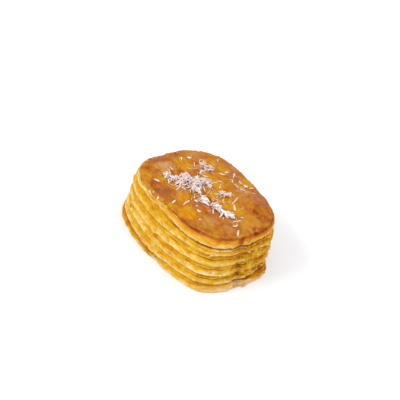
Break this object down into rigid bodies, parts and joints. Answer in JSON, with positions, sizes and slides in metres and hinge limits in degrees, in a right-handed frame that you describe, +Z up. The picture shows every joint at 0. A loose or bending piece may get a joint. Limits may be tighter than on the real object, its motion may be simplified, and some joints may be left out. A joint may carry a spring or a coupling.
{
  "type": "laminated butter roll",
  "caption": "Small oblong butter roll of layered puff dough with a glazed domed lid and coconut shreds, a baked snack that rests on its flat base.",
  "frame": {"origin": "middle of the flat base, where the roll rests", "axes": "+X along the roll, towards the end with the closing crease; +Z up; the lid leans over towards +X and +Y"},
  "size_m": [0.0923, 0.0626, 0.0369],
  "materials": {
    "baked_crust": "golden, layered baked dough: glossy amber glaze on the lid, satin yellow sides with pale lips"
  },
  "bodies": {
    "root": {"butter_roll": "baked_crust"}
  },
  "joints": []
}
